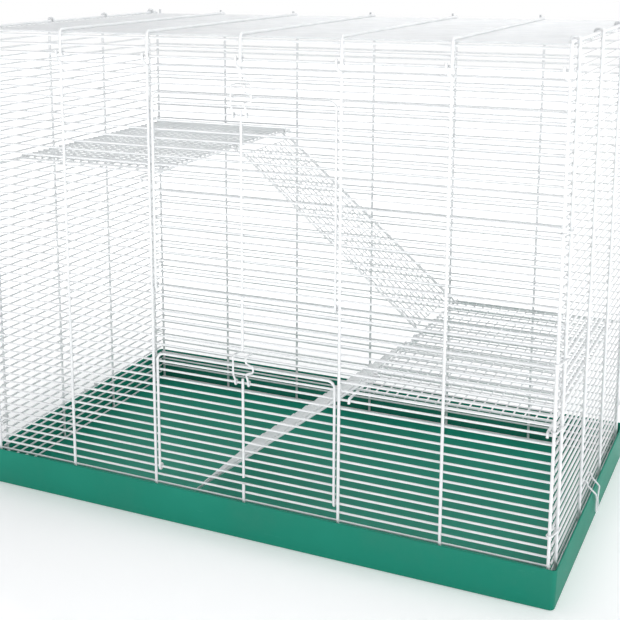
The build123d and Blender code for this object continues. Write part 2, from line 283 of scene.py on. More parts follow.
def bent_wire(name, corners, radius, bend, eye_in=None, eye_out=None, sides=WIRE_SIDES):
    """A wire through the corners. An eye is (centre, axis, angle) and is tangent to the wire's end."""
    clear_selection()
    corners = [Vector(c) for c in corners]
    first = (corners[1] - corners[0]).normalized()
    place, heading = corners[0], first
    if eye_in:
        centre, axis, angle = eye_in
        place = centre + turned(corners[0] - centre, axis, -angle)
        heading = turned(first, axis, -angle)
    turn = heading.to_track_quat("Z", "Y").to_euler()
    bpy.ops.mesh.primitive_circle_add(vertices=sides, radius=radius, fill_type="NOTHING",
                                      location=place, rotation=turn)
    piece = bpy.context.object
    bpy.ops.object.transform_apply(location=True, rotation=True, scale=True)
    piece.name = name
    bpy.context.tool_settings.mesh_select_mode = (False, True, False)
    start_editing()
    bpy.ops.mesh.select_all(action="SELECT")
    if eye_in:
        spin_ring(angle, centre, axis)
    place = corners[0]
    for here, after in zip(corners[1:], corners[2:] + [None]):
        arriving = (here - place).normalized()
        if after is None:
            bpy.ops.mesh.extrude_region_move(TRANSFORM_OT_translate={"value": here - place})
            break
        leaving = (after - here).normalized()
        angle = arriving.angle(leaving)
        setback = bend * math.tan(angle / 2)
        bend_start = here - arriving * setback
        bpy.ops.mesh.extrude_region_move(TRANSFORM_OT_translate={"value": bend_start - place})
        axis = arriving.cross(leaving).normalized()
        spin_ring(angle, bend_start + axis.cross(arriving) * bend, axis)
        place = here + leaving * setback
    if eye_out:
        centre, axis, angle = eye_out
        spin_ring(angle, centre, axis)
    stop_editing()
    return piece


print("a full eye takes", BEND_STEPS_PER_TURN, "steps")

# %% [markdown]
# ## Small shared textures
# The powder coat and the moulded plastic both have a fine uneven surface and a little dust and wear. Each effect is
# one node group, built once and placed in both materials with its own numbers. A group puts out only masks and
# heights; the shader itself stays in the material, where the exporter can read it.

# %% Node group helpers
def new_group(name, inputs, outputs):
    """A node group whose inputs are (name, default) numbers; it also gets a Vector for the place."""
    group = bpy.data.node_groups.new(name, "ShaderNodeTree")
    group.interface.new_socket(name="Vector", in_out="INPUT", socket_type="NodeSocketVector")
    for label, default in inputs:
        socket = group.interface.new_socket(name=label, in_out="INPUT", socket_type="NodeSocketFloat")
        socket.default_value = default
    for label in outputs:
        group.interface.new_socket(name=label, in_out="OUTPUT", socket_type="NodeSocketFloat")
    return group, group.nodes.new("NodeGroupInput"), group.nodes.new("NodeGroupOutput")


def connect(tree, source, target):
    tree.links.new(source, target)


def noise(tree, place, scale, detail, roughness=0.55):
    """The grey value of a noise texture whose scale comes from a socket."""
    node = tree.nodes.new("ShaderNodeTexNoise")
    node.inputs["Detail"].default_value = detail
    node.inputs["Roughness"].default_value = roughness
    connect(tree, place, node.inputs["Vector"])
    connect(tree, scale, node.inputs["Scale"])
    return node.outputs["Fac"]


def mapped(tree, value, low, high, out_low=0.0, out_high=1.0):
    """The value stretched from one range to another, and held at its ends."""
    node = tree.nodes.new("ShaderNodeMapRange")
    for label, number in (("From Min", low), ("From Max", high), ("To Min", out_low), ("To Max", out_high)):
        node.inputs[label].default_value = number
    connect(tree, value, node.inputs["Value"])
    return node.outputs["Result"]


def arithmetic(tree, operation, first, second):
    """A Math node; a plain number is set on its socket, anything else is linked to it."""
    node = tree.nodes.new("ShaderNodeMath")
    node.operation = operation
    for socket, value in zip(node.inputs, (first, second)):
        if isinstance(value, (int, float)):
            socket.default_value = value
        else:
            connect(tree, value, socket)
    return node.outputs["Value"]


print("group helpers ready")

# %% [markdown]
# **Fine surface.** Powder coat dries with a faint orange-peel; moulded plastic has a finer grain. Both are a small
# noise over a larger, slower one.

# %% Node group: fine surface
surface_group, group_in, group_out = new_group(
    "fine_surface", [("Fine Scale", 900.0), ("Slow Scale", 60.0), ("Slow Part", 0.5)], ["Height", "Slow"])
fine = noise(surface_group, group_in.outputs["Vector"], group_in.outputs["Fine Scale"], detail=2.0)
slow = noise(surface_group, group_in.outputs["Vector"], group_in.outputs["Slow Scale"], detail=3.0)
slow_share = arithmetic(surface_group, "MULTIPLY", slow, group_in.outputs["Slow Part"])
connect(surface_group, arithmetic(surface_group, "ADD", fine, slow_share), group_out.inputs["Height"])
connect(surface_group, slow, group_out.inputs["Slow"])
print("fine_surface:", len(surface_group.nodes), "nodes")

# %% [markdown]
# **Settled dust and scuffs.** Dust lies in patches; scuffs are short, thin and mostly run one way. The group gives one
# mask for each.

# %% Node group: dust and scuffs
DUST_FROM, DUST_FULL = 0.48, 0.72
SCUFF_FROM, SCUFF_FULL = 0.66, 0.74
SCUFF_THINNING, SCUFF_TURN = (1.0, 9.0, 9.0), (0.35, 0.2, 0.5)

wear_group, group_in, group_out = new_group(
    "dust_and_scuffs", [("Patch Scale", 9.0), ("Scuff Scale", 40.0)], ["Dust", "Scuffs"])
patches = noise(wear_group, group_in.outputs["Vector"], group_in.outputs["Patch Scale"], 6.0, 0.65)
connect(wear_group, mapped(wear_group, patches, DUST_FROM, DUST_FULL), group_out.inputs["Dust"])
stretch = wear_group.nodes.new("ShaderNodeMapping")
stretch.inputs["Scale"].default_value = SCUFF_THINNING
stretch.inputs["Rotation"].default_value = SCUFF_TURN
connect(wear_group, group_in.outputs["Vector"], stretch.inputs["Vector"])
scratches = noise(wear_group, stretch.outputs["Vector"], group_in.outputs["Scuff Scale"], 4.0, 0.7)
connect(wear_group, mapped(wear_group, scratches, SCUFF_FROM, SCUFF_FULL), group_out.inputs["Scuffs"])
print("dust_and_scuffs:", len(wear_group.nodes), "nodes")

# %% [markdown]
# ## Materials
# A material starts from a Principled shader and the object's own coordinates. These helpers place a group in it, mix
# two colours by a mask, and turn a height into a bump.

# %% Material helpers
SLOW_LOW, SLOW_HIGH = 0.3, 0.7
BUMP_DISTANCE = 0.2 * MM


def new_material(name):
    material = bpy.data.materials.new(name)
    material.use_nodes = True
    tree = material.node_tree
    shader = tree.nodes["Principled BSDF"]
    place = tree.nodes.new("ShaderNodeTexCoord").outputs["Object"]
    return material, tree, shader, place


def place_group(tree, group, place, **values):
    """Put a shared group in a material and set its numbers."""
    node = tree.nodes.new("ShaderNodeGroup")
    node.node_tree = group
    connect(tree, place, node.inputs["Vector"])
    for label, value in values.items():
        node.inputs[label.replace("_", " ")].default_value = value
    return node


def colour_mix(tree, mask, first, second):
    """A Mix node set to colours. Its colour sockets are found by number, since other kinds share their names."""
    node = tree.nodes.new("ShaderNodeMix")
    node.data_type = "RGBA"
    connect(tree, mask, node.inputs["Factor"])
    for socket, value in ((node.inputs[6], first), (node.inputs[7], second)):
        if isinstance(value, tuple):
            socket.default_value = (*value, 1.0)
        else:
            connect(tree, value, socket)
    return node.outputs[2]


def add_bump(tree, shader, height, strength):
    bump = tree.nodes.new("ShaderNodeBump")
    bump.inputs["Strength"].default_value = strength
    bump.inputs["Distance"].default_value = BUMP_DISTANCE
    connect(tree, height, bump.inputs["Height"])
    connect(tree, bump.outputs["Normal"], shader.inputs["Normal"])


print("material helpers ready")

# %% [markdown]
# ## The white wire
# The wire is steel with a thick glossy white powder coat. The coat is the clear layer of the shader; below it the
# white varies a little, goes slightly grey where dust clings, and has the orange-peel in its normal.

# %% Material: white wire
WHITE, GREYED_WHITE, DUSTY_WHITE = (0.80, 0.81, 0.815), (0.73, 0.745, 0.755), (0.64, 0.645, 0.63)
white_wire, tree, shader, place = new_material("white_wire")
surface = place_group(tree, surface_group, place, Fine_Scale=700.0, Slow_Scale=35.0, Slow_Part=0.6)
wear = place_group(tree, wear_group, place, Patch_Scale=14.0, Scuff_Scale=60.0)
base = colour_mix(tree, mapped(tree, surface.outputs["Slow"], SLOW_LOW, SLOW_HIGH), WHITE, GREYED_WHITE)
base = colour_mix(tree, arithmetic(tree, "MULTIPLY", wear.outputs["Dust"], 0.25), base, DUSTY_WHITE)
connect(tree, base, shader.inputs["Base Color"])
rough = mapped(tree, wear.outputs["Dust"], 0.0, 1.0, out_low=0.28, out_high=0.5)
connect(tree, rough, shader.inputs["Roughness"])
shader.inputs["Coat Weight"].default_value = 0.35
shader.inputs["Coat Roughness"].default_value = 0.12
add_bump(tree, shader, surface.outputs["Height"], 0.25)
print("white_wire:", len(tree.nodes), "nodes")

# %% [markdown]
# ## The green tray
# The tray is moulded in one piece from a satin green plastic. The grain is fine, the colour drifts slowly over the
# walls, and light scuffs and some dust lie on it. Its shine is set weak, since reflections see a white world.

# %% Material: tray plastic
GREEN, DEEP_GREEN, SCUFFED_GREEN, DUSTY_GREEN = (
    (0.009, 0.235, 0.160), (0.006, 0.195, 0.130), (0.050, 0.330, 0.240), (0.085, 0.290, 0.220))
tray_plastic, tree, shader, place = new_material("tray_plastic")
surface = place_group(tree, surface_group, place, Fine_Scale=1500.0, Slow_Scale=7.0, Slow_Part=0.4)
wear = place_group(tree, wear_group, place, Patch_Scale=7.0, Scuff_Scale=22.0)
base = colour_mix(tree, mapped(tree, surface.outputs["Slow"], SLOW_LOW, SLOW_HIGH), GREEN, DEEP_GREEN)
base = colour_mix(tree, arithmetic(tree, "MULTIPLY", wear.outputs["Scuffs"], 0.35), base, SCUFFED_GREEN)
base = colour_mix(tree, arithmetic(tree, "MULTIPLY", wear.outputs["Dust"], 0.18), base, DUSTY_GREEN)
connect(tree, base, shader.inputs["Base Color"])
rough = mapped(tree, surface.outputs["Slow"], SLOW_LOW, SLOW_HIGH, out_low=0.42, out_high=0.54)
rough = arithmetic(tree, "ADD", rough, arithmetic(tree, "MULTIPLY", wear.outputs["Scuffs"], 0.12))
connect(tree, rough, shader.inputs["Roughness"])
shader.inputs["Specular IOR Level"].default_value = 0.14
add_bump(tree, shader, surface.outputs["Height"], 0.2)
print("tray_plastic:", len(tree.nodes), "nodes")

# %% [markdown]
# ## Finishing a piece
# A finished piece gets its material, smooth shading up to a crease angle and the body that carries it. The CAD
# nodes that it stands for are hidden.

# %% Finish helper
SMOOTH_ANGLE = math.radians(35)


def finish_piece(piece, body, *nodes, material=None, slot="white_wire"):
    """Dress the piece, hang it on its body and hide the CAD nodes it replaces."""
    hold(piece)
    bpy.ops.object.shade_smooth_by_angle(angle=SMOOTH_ANGLE)
    piece.data.materials.clear()
    piece.data.materials.append(material or white_wire)
    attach(piece, body)
    if nodes:
        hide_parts(*nodes)
    print(piece.name, len(piece.data.polygons), "faces")


print("smooth below", round(math.degrees(SMOOTH_ANGLE)), "degrees")

# %% [markdown]
# ## The tray
# A block is taken to the tray's size, its upright edges are rounded, the walls are drawn in towards the bottom, and
# the top is inset and pushed down to hollow it. Thin bevels then soften the rim and the foot of the walls, as on
# anything that has to leave a mould.

# %% Tray
TRAY_LENGTH, TRAY_WIDTH, TRAY_HEIGHT = 780.6 * MM, 467.6 * MM, 50 * MM
TRAY_TAPER, TRAY_WALL, TRAY_CORNER = 2 * MM, 2.5 * MM, 6 * MM
RIM_BEVEL, FOOT_BEVEL, FLOOR_BEVEL = 0.9 * MM, 1.5 * MM, 0.4 * MM


def draw_in(length, width):
    """Draw the selected outline in from the given size by the taper on every side."""
    value = ((length - 2 * TRAY_TAPER) / length, (width - 2 * TRAY_TAPER) / width, 1)
    bpy.ops.transform.resize(value=value, center_override=(0, 0, 0))


clear_selection()
bpy.ops.mesh.primitive_cube_add(size=1, location=(0, 0, TRAY_HEIGHT / 2))
tray = bpy.context.object
tray.scale = (TRAY_LENGTH, TRAY_WIDTH, TRAY_HEIGHT)
bpy.ops.object.transform_apply(location=True, rotation=True, scale=True)
pick(tray, "edge", lambda middle, along: abs(along.z) > 0.9)
bpy.ops.mesh.bevel(offset=TRAY_CORNER, segments=8, affect="EDGES")
pick(tray, "vertex", lambda place, normal: place.z < 1 * MM)
draw_in(TRAY_LENGTH, TRAY_WIDTH)
pick(tray, "face", lambda middle, normal: normal.z > 0.9)
bpy.ops.mesh.inset(thickness=TRAY_WALL)
bpy.ops.mesh.extrude_region_move(TRANSFORM_OT_translate={"value": (0, 0, TRAY_WALL - TRAY_HEIGHT)})
draw_in(TRAY_LENGTH - 2 * TRAY_WALL, TRAY_WIDTH - 2 * TRAY_WALL)
print("hollowed tray:", len(tray.data.polygons), "faces")

# %% Tray edges
def on_level_loop(level):
    """A test for edges that lie flat at one height, on the tray's outline."""
    return lambda middle, along: abs(middle.z - level) < 0.1 * MM and abs(along.z) < 0.1


for level, offset, segments in ((TRAY_HEIGHT, RIM_BEVEL, 3), (0, FOOT_BEVEL, 3), (TRAY_WALL, FLOOR_BEVEL, 2)):
    pick(tray, "edge", on_level_loop(level))
    bpy.ops.mesh.bevel(offset=offset, segments=segments, affect="EDGES")
close_up(tray)
tray.name = "tray"
finish_piece(tray, "tray", "tray_base", material=tray_plastic, slot="tray_plastic")

# %% [markdown]
# ## The front panel
# The line wires at the height of a doorway stop at the uprights beside it; the others cross the whole panel. Each
# upright is bent a little aside near its top, so that the end of a roof wire fits beside it.

# %% Front line wires
def panel_bars(name, low_x, high_x, first, last, y):
    """The line wires of a front or back panel from one number to another."""
    low, high = Vector((low_x, y, bar_z(first))), Vector((high_x, y, bar_z(first)))
    return wire_row(name, low, high, BAR, last - first + 1, (0, 0, PITCH))


front_bars = []
for first, last in ((0, LOWER_HINGE), (LOWER_TOP + 1, UPPER_HINGE), (UPPER_TOP + 1, FRONT_LAST_BAR)):
    front_bars.append(panel_bars("bars", -PANEL_END_X, PANEL_END_X, first, last, -FRONT_Y))
for first, last in ((LOWER_HINGE + 1, LOWER_TOP), (UPPER_HINGE + 1, UPPER_TOP)):
    front_bars.append(panel_bars("bars", -PANEL_END_X, -DOORWAY_HALF, first, last, -FRONT_Y))
    front_bars.append(panel_bars("bars", DOORWAY_HALF, PANEL_END_X, first, last, -FRONT_Y))
front_line_wires = join("front_line_wires", front_bars)
finish_piece(front_line_wires, "wire_top", "front_grille_left", "front_grille_right")

# %% Front uprights
JOG = 6.5 * MM
FRONT_BEND_Z, FRONT_WIRE_TOP = bar_z(FRONT_LAST_BAR - 1) - 0.7 * MM, bar_z(FRONT_LAST_BAR) + 3.9 * MM
UPRIGHT_BEND = 4.5 * MM


def jogged_upright(name, x, y, foot_z, bend_z, top_z):
    """An upright that steps aside at the bend height and goes on up."""
    aside = x + JOG if x < -PANEL_END_X + BAY / 2 else x - JOG
    corners = [(x, y, foot_z), (x, y, bend_z), (aside, y, bend_z + JOG), (aside, y, top_z)]
    wire = bent_wire(name, corners, UPRIGHT, UPRIGHT_BEND)
    close_up(wire)
    return wire


feet = {index: WIRE_FOOT for index in ALL_BUT_MIDDLE}
feet[MIDDLE] = bar_z(UPPER_TOP + 2) - BAR
front_uprights = []
for index, foot_z in feet.items():
    front_uprights.append(
        jogged_upright("upright", upright_x(index), -UPRIGHT_Y, foot_z, FRONT_BEND_Z, FRONT_WIRE_TOP))
stubs = ((WIRE_FOOT, bar_z(LOWER_HINGE) + BAR), (bar_z(LOWER_TOP + 2) - BAR, bar_z(UPPER_HINGE) + BAR))
for low_z, high_z in stubs:
    low, high = Vector((0, -UPRIGHT_Y, low_z)), Vector((0, -UPRIGHT_Y, high_z))
    front_uprights.append(straight_wire("stub", low, high, UPRIGHT))
finish_piece(join("front_uprights", front_uprights), "wire_top",
             "front_grille_bottom", "front_grille_middle", "front_grille_top")

# %% [markdown]
# ## The back panel
# It is the front panel without doorways, and two line wires higher. Its uprights stand a little above the roof.

# %% Back panel
back_line_wires = panel_bars("back_line_wires", -PANEL_END_X, PANEL_END_X, 0, LAST_BAR, FRONT_Y)
finish_piece(back_line_wires, "wire_top", "back_panel")
BACK_BEND_Z = bar_z(LAST_BAR - 1) - 2 * MM
back_wires = []
for index in range(7):
    back_wires.append(jogged_upright("upright", upright_x(index), UPRIGHT_Y, WIRE_FOOT, BACK_BEND_Z, HOOK_Z))
finish_piece(join("back_uprights", back_wires), "wire_top")

# %% [markdown]
# ## The side panels
# Four uprights stand outside the line wires. At the top each is bent over the roof's outermost wire, which keeps the
# roof from lifting. One side is made and mirrored.

# %% Side panels
SIDE_BAR_END, HOOK_END_X, HOOK_DROP, HOOK_BEND = 217.8 * MM, 374.5 * MM, 4.8 * MM, 3.2 * MM
low, high = Vector((SIDE_X, -SIDE_BAR_END, bar_z(0))), Vector((SIDE_X, SIDE_BAR_END, bar_z(0)))
right_line_wires = wire_row("right_line_wires", low, high, BAR, LAST_BAR + 1, (0, 0, PITCH))
first_y = SIDE_WIRE_Y[0]
corners = [(UPRIGHT_X, first_y, WIRE_FOOT), (UPRIGHT_X, first_y, HOOK_Z),
           (HOOK_END_X, first_y, HOOK_Z), (HOOK_END_X, first_y, HOOK_Z - HOOK_DROP)]
first_hooked = bent_wire("hooked", corners, UPRIGHT, HOOK_BEND)
close_up(first_hooked)
hooked = [first_hooked] + [copy_moved(first_hooked, (0, y - first_y, 0)) for y in SIDE_WIRE_Y[1:]]
right_uprights = join("right_uprights", hooked)
left_line_wires = copy_to_other_side(right_line_wires, "left_line_wires")
left_uprights = copy_to_other_side(right_uprights, "left_uprights")
finish_piece(right_line_wires, "wire_top", "right_panel")
finish_piece(left_line_wires, "wire_top", "left_panel")
finish_piece(right_uprights, "wire_top")
finish_piece(left_uprights, "wire_top")

# %% [markdown]
# ## The roof
# Seven heavy wires run from front to back over the line wires. Each is bent down over the front edge and ends in an
# eye round the front panel's top line wire; at the back it does the same round the back panel's. One is bent with
# the helper and copied along. The line wires that close the gap above the front panel belong to the roof too.

# %% Roof
ROOF_FIRST_Y, ROOF_ROWS, ROOF_BEND = -217 * MM, 40, 4.2 * MM
EYE_ANGLE = math.radians(285)
X_AXIS, Y_AXIS = Vector((1, 0, 0)), Vector((0, 1, 0))
front_eye = (Vector((0, -FRONT_Y, bar_z(FRONT_LAST_BAR))), -X_AXIS, EYE_ANGLE)
back_eye = (Vector((0, FRONT_Y, bar_z(LAST_BAR))), -X_AXIS, EYE_ANGLE)
corners = [(0, -UPRIGHT_Y, bar_z(FRONT_LAST_BAR)), (0, -UPRIGHT_Y, ROOF_Z), (0, UPRIGHT_Y, ROOF_Z),
           (0, UPRIGHT_Y, bar_z(LAST_BAR))]
middle_cross = bent_wire("cross", corners, UPRIGHT, ROOF_BEND, eye_in=front_eye, eye_out=back_eye)
close_up(middle_cross)
others = [copy_moved(middle_cross, (upright_x(index), 0, 0)) for index in ALL_BUT_MIDDLE]
finish_piece(join("roof_cross_wires", [middle_cross] + others), "wire_top", "roof_panel")
under_roof_z = ROOF_Z - BAR - UPRIGHT
low, high = Vector((-END_WIRE_X, ROOF_FIRST_Y, under_roof_z)), Vector((END_WIRE_X, ROOF_FIRST_Y, under_roof_z))
finish_piece(wire_row("roof_line_wires", low, high, BAR, ROOF_ROWS, (0, PITCH, 0)), "wire_top")
edge_wires = panel_bars("roof_edge_line_wires", -PANEL_END_X, PANEL_END_X, FRONT_LAST_BAR + 1, LAST_BAR, -FRONT_Y)
finish_piece(edge_wires, "wire_top", "roof_front_edge")

# %% [markdown]
# ## The doors
# A door is one bent frame wire with rounded upper corners, line wires welded behind it, and a short upright in the
# middle. Each end of the frame wire is curled into an eye round the panel's line wire below. Half of the frame is
# bent and then mirrored, so both sides match.

# %% Doors
DOOR_HALF, DOOR_CORNER = 121.4 * MM, 9 * MM
DOOR_WIRE_Y = FRONT_Y + BAR + FRAME_WIRE + 0.1 * MM
DOOR_EYE_ANGLE = math.radians(300)
OVERHANG, MIDDLE_OVERHANG = 1.4 * MM, 6.5 * MM


def mirror_half(piece, use_axis):
    """Mirror a half wire through a middle plane and merge it there."""
    apply_modifier(piece, "MIRROR", use_axis=use_axis, use_clip=True, merge_threshold=MERGE_WITHIN)
    close_up(piece)


def make_door(name, hinge, top):
    """A door between the line wire that holds its eyes and the one that its top wire covers."""
    top_z = bar_z(top)
    eye = (Vector((DOOR_HALF, -FRONT_Y, bar_z(hinge))), X_AXIS, DOOR_EYE_ANGLE)
    corners = [(0, -DOOR_WIRE_Y, top_z), (DOOR_HALF, -DOOR_WIRE_Y, top_z), (DOOR_HALF, -DOOR_WIRE_Y, bar_z(hinge))]
    half_frame = bent_wire("half", corners, FRAME_WIRE, DOOR_CORNER, eye_out=eye)
    mirror_half(half_frame, (True, False, False))
    bar_half = DOOR_HALF + OVERHANG
    bars = panel_bars("bars", -bar_half, bar_half, hinge + 1, top - 1, -FRONT_Y)
    low = Vector((0, -DOOR_WIRE_Y, bar_z(hinge + 1) - BAR))
    high = Vector((0, -DOOR_WIRE_Y, bar_z(top - 2) + MIDDLE_OVERHANG))
    middle = straight_wire("middle", low, high, FRAME_WIRE)
    return join(name, [half_frame, bars, middle])


finish_piece(make_door("upper_door_wires", UPPER_HINGE, UPPER_TOP), "upper_door", "upper_door")
finish_piece(make_door("lower_door_wires", LOWER_HINGE, LOWER_TOP), "lower_door", "lower_door")

# %% [markdown]
# ## The door latches
# One thin wire makes the whole latch: it is curled round a door bar, runs up in front of the door's top wire, lies
# over the panel bar above, crosses behind it and comes back down, with a bend to the right for the thumb.

# %% Latches
LATCH_X, LATCH_HALF, THUMB_X = -2 * MM, 8.8 * MM, 16.5 * MM
LATCH_FRONT, LATCH_BACK, LATCH_BEND = -231.8 * MM, -213.5 * MM, 2.2 * MM
LATCH_EYE, ARCH_GAP = BAR + LATCH_WIRE + EYE_PLAY, 0.6 * MM
LATCH_EYE_ANGLE = math.radians(270)
FOOT_RISE, KNEE_RISE = 4 * MM, 13 * MM
THUMB_FROM, THUMB_LOW, THUMB_HIGH, THUMB_TO = 15 * MM, 18.5 * MM, 25.5 * MM, 29 * MM


def make_latch(name, top):
    """A latch for the door whose top wire is at the given number; it turns about the door bar two lower."""
    pivot_z = bar_z(top - 2)
    arch_z = bar_z(top + 1) + BAR + ARCH_GAP + LATCH_WIRE
    left, right = LATCH_X - LATCH_HALF, LATCH_X + LATCH_HALF
    foot_y = -FRONT_Y - LATCH_EYE
    corners = [(left, foot_y, pivot_z), (left, foot_y, pivot_z + FOOT_RISE), (left, LATCH_FRONT, pivot_z + KNEE_RISE),
               (left, LATCH_FRONT, arch_z), (left, LATCH_BACK, arch_z), (right, LATCH_BACK, arch_z),
               (right, LATCH_FRONT, arch_z), (right, LATCH_FRONT, pivot_z + THUMB_TO),
               (THUMB_X, LATCH_FRONT, pivot_z + THUMB_HIGH), (THUMB_X, LATCH_FRONT, pivot_z + THUMB_LOW),
               (right, LATCH_FRONT, pivot_z + THUMB_FROM), (right, foot_y, pivot_z + FOOT_RISE),
               (right, foot_y, pivot_z)]
    eye_in = (Vector((left, -FRONT_Y, pivot_z)), -X_AXIS, LATCH_EYE_ANGLE)
    eye_out = (Vector((right, -FRONT_Y, pivot_z)), X_AXIS, LATCH_EYE_ANGLE)
    latch = bent_wire(name, corners, LATCH_WIRE, LATCH_BEND, eye_in, eye_out, LATCH_SIDES)
    close_up(latch)
    return latch


finish_piece(make_latch("upper_latch_wire", UPPER_TOP), "upper_latch", "upper_door_latch")
finish_piece(make_latch("lower_latch_wire", LOWER_TOP), "lower_latch", "lower_door_latch")

# %% [markdown]
# ## The platforms
# Each platform is a rectangle of heavy wire with welded mesh on top, 12.7 mm both ways. Four arms reach from its ends
# to the panels and are bent down over a line wire there. The mesh wires are two crossing rows from an Array modifier.
# The lower platform reaches three meshes further forward than the upper one.

# %% Platforms
UPPER_LEVEL, LOWER_LEVEL = 40, 18
OUTER_X, INNER_X, PLATFORM_BACK = 372 * MM, 140 * MM, 217 * MM
UPPER_FRONT, LOWER_FRONT = -166 * MM, -204.1 * MM
MESH_PITCH, SEAT_GAP = 12.7 * MM, 0.3 * MM
FLAT_BAR_REACH = 2 * BAR / math.sqrt(3)
UNDER_MESH = MESH_WIRE * 0.8
FRAME_BEND, ARM_BEND, ARM_ROOT, ARM_DROP, ARM_GAP = 3 * MM, 2.6 * MM, 1 * MM, 5.8 * MM, 0.6 * MM


def level_z(level):
    """Centre height of a platform's frame wire, which hangs on the line wire with that number."""
    return bar_z(level) + FLAT_BAR_REACH + SEAT_GAP + FRAME_WIRE


def centred_rows(low, high, pitch):
    """The first place and the number of evenly pitched rows between two edges."""
    count = int((high - low - pitch) / pitch) + 1
    return low + (high - low - (count - 1) * pitch) / 2, count


def mesh_panel(name, low_x, high_x, low_y, high_y, z):
    """Two crossing rows of thin wire; the lower row lies under the upper one."""
    first_y, rows = centred_rows(low_y, high_y, MESH_PITCH)
    first_x, columns = centred_rows(low_x, high_x, MESH_PITCH)
    last_y = first_y + (rows - 1) * MESH_PITCH
    low = Vector((low_x - OVERHANG, first_y, z + MESH_WIRE))
    high = Vector((high_x + OVERHANG, first_y, z + MESH_WIRE))
    across = wire_row("across", low, high, MESH_WIRE, rows, (0, MESH_PITCH, 0), MESH_SIDES)
    low = Vector((first_x, first_y - OVERHANG, z - UNDER_MESH))
    high = Vector((first_x, last_y + OVERHANG, z - UNDER_MESH))
    along = wire_row("along", low, high, MESH_WIRE, columns, (MESH_PITCH, 0, 0), MESH_SIDES)
    return join(name, [across, along])


def closed_frame(name, low_x, high_x, low_y, high_y, z):
    """A rectangle of wire with rounded corners, begun and ended in the middle of one side."""
    middle = (low_y + high_y) / 2
    corners = [(low_x, middle, z), (low_x, high_y, z), (high_x, high_y, z), (high_x, low_y, z),
               (low_x, low_y, z), (low_x, middle, z)]
    frame_wire = bent_wire(name, corners, FRAME_WIRE, FRAME_BEND)
    start_editing()
    bpy.ops.mesh.select_all(action="SELECT")
    bpy.ops.mesh.remove_doubles(threshold=MERGE_WITHIN)
    bpy.ops.mesh.normals_make_consistent(inside=False)
    stop_editing()
    return frame_wire


def platform_arms(sign, z, front):
    """Four arms, from the frame's end wires over the panels' line wires and down outside them."""
    hook_y = FRONT_Y + BAR + ARM_GAP + FRAME_WIRE
    arms = []
    for x in (sign * OUTER_X, sign * INNER_X):
        for side, edge in ((-1, front), (1, PLATFORM_BACK)):
            corners = [(x, edge - side * ARM_ROOT, z), (x, side * hook_y, z), (x, side * hook_y, z - ARM_DROP)]
            arm = bent_wire("arm", corners, FRAME_WIRE, ARM_BEND)
            close_up(arm)
            arms.append(arm)
    return arms


def make_platform(name, sign, level, front):
    """A platform on one side of the cage; the sign says which."""
    low_x, high_x = sorted((sign * OUTER_X, sign * INNER_X))
    z = level_z(level)
    rim = closed_frame("rim", low_x, high_x, front, PLATFORM_BACK, z)
    mesh = mesh_panel("mesh", low_x, high_x, front, PLATFORM_BACK, z + FRAME_WIRE)
    return join(name, [rim, mesh] + platform_arms(sign, z, front))


finish_piece(make_platform("upper_platform_wires", -1, UPPER_LEVEL, UPPER_FRONT), "upper_platform",
             "upper_platform", "upper_platform_hooks")
finish_piece(make_platform("lower_platform_wires", 1, LOWER_LEVEL, LOWER_FRONT), "wire_top",
             "lower_platform", "lower_platform_hooks")

# %% [markdown]
# ## The ramps
# A ramp is two rails with mesh on them. Each rail's upper end is curled round the platform's edge wire, so the ramp
# swings there. It is made lying flat along +X with the eyes at the origin, and then turned and moved into place.

# %% Ramps
RAMP_WIDTH, RAIL_EYE = 168 * MM, 2 * FRAME_WIRE + EYE_PLAY
RAIL_EYE_ANGLE, RAIL_BEND = math.radians(300), 6 * MM
RAIL_STEP_FROM, RAIL_STEP_TO = 9 * MM, 15 * MM
FIRST_RUNG, BARE_END = 17 * MM, 10 * MM


def rail_places(wanted_low):
    """Rail places that fall midway between two mesh wires, which lie alike in both platforms."""
    first, count = centred_rows(UPPER_FRONT, PLATFORM_BACK, MESH_PITCH)
    gaps = [first + MESH_PITCH * (i + 0.5) for i in range(count - 1)]
    low = min(gaps, key=lambda y: abs(y - wanted_low))
    high = min(gaps, key=lambda y: abs(y - wanted_low - RAMP_WIDTH))
    return low, high


def flat_ramp(name, length, low_y, high_y):
    """A ramp lying along +X from its eyes; each rail steps up from the eye to its own height."""
    pieces = []
    for y in (low_y, high_y):
        corners = [(0, y, -RAIL_EYE), (RAIL_STEP_FROM, y, -RAIL_EYE), (RAIL_STEP_TO, y, 0), (length, y, 0)]
        eye = (Vector((0, y, 0)), -Y_AXIS, RAIL_EYE_ANGLE)
        rail = bent_wire("rail", corners, FRAME_WIRE, RAIL_BEND, eye_in=eye)
        close_up(rail)
        pieces.append(rail)
    over, under = FRAME_WIRE + MESH_WIRE, FRAME_WIRE - UNDER_MESH
    rungs = int((length - FIRST_RUNG - BARE_END) / MESH_PITCH) + 1
    last_rung = FIRST_RUNG + (rungs - 1) * MESH_PITCH
    low, high = Vector((FIRST_RUNG, low_y - OVERHANG, over)), Vector((FIRST_RUNG, high_y + OVERHANG, over))
    pieces.append(wire_row("rungs", low, high, MESH_WIRE, rungs, (MESH_PITCH, 0, 0), MESH_SIDES))
    first_y, lines = centred_rows(low_y, high_y, MESH_PITCH)
    low = Vector((FIRST_RUNG - OVERHANG, first_y, under))
    high = Vector((last_rung + OVERHANG, first_y, under))
    pieces.append(wire_row("lines", low, high, MESH_WIRE, lines, (0, MESH_PITCH, 0), MESH_SIDES))
    return join(name, pieces)


def place_ramp(ramp, level, fall):
    """Turn the flat ramp down about its eyes and move it to the inner edge of a platform on the left."""
    hold(ramp)
    ramp.rotation_euler = (0, fall, 0)
    ramp.location = (-INNER_X, 0, level_z(level))
    bpy.ops.object.transform_apply(location=True, rotation=True, scale=True)


print("a rail's eye turns", round(math.degrees(RAIL_EYE_ANGLE)), "degrees")

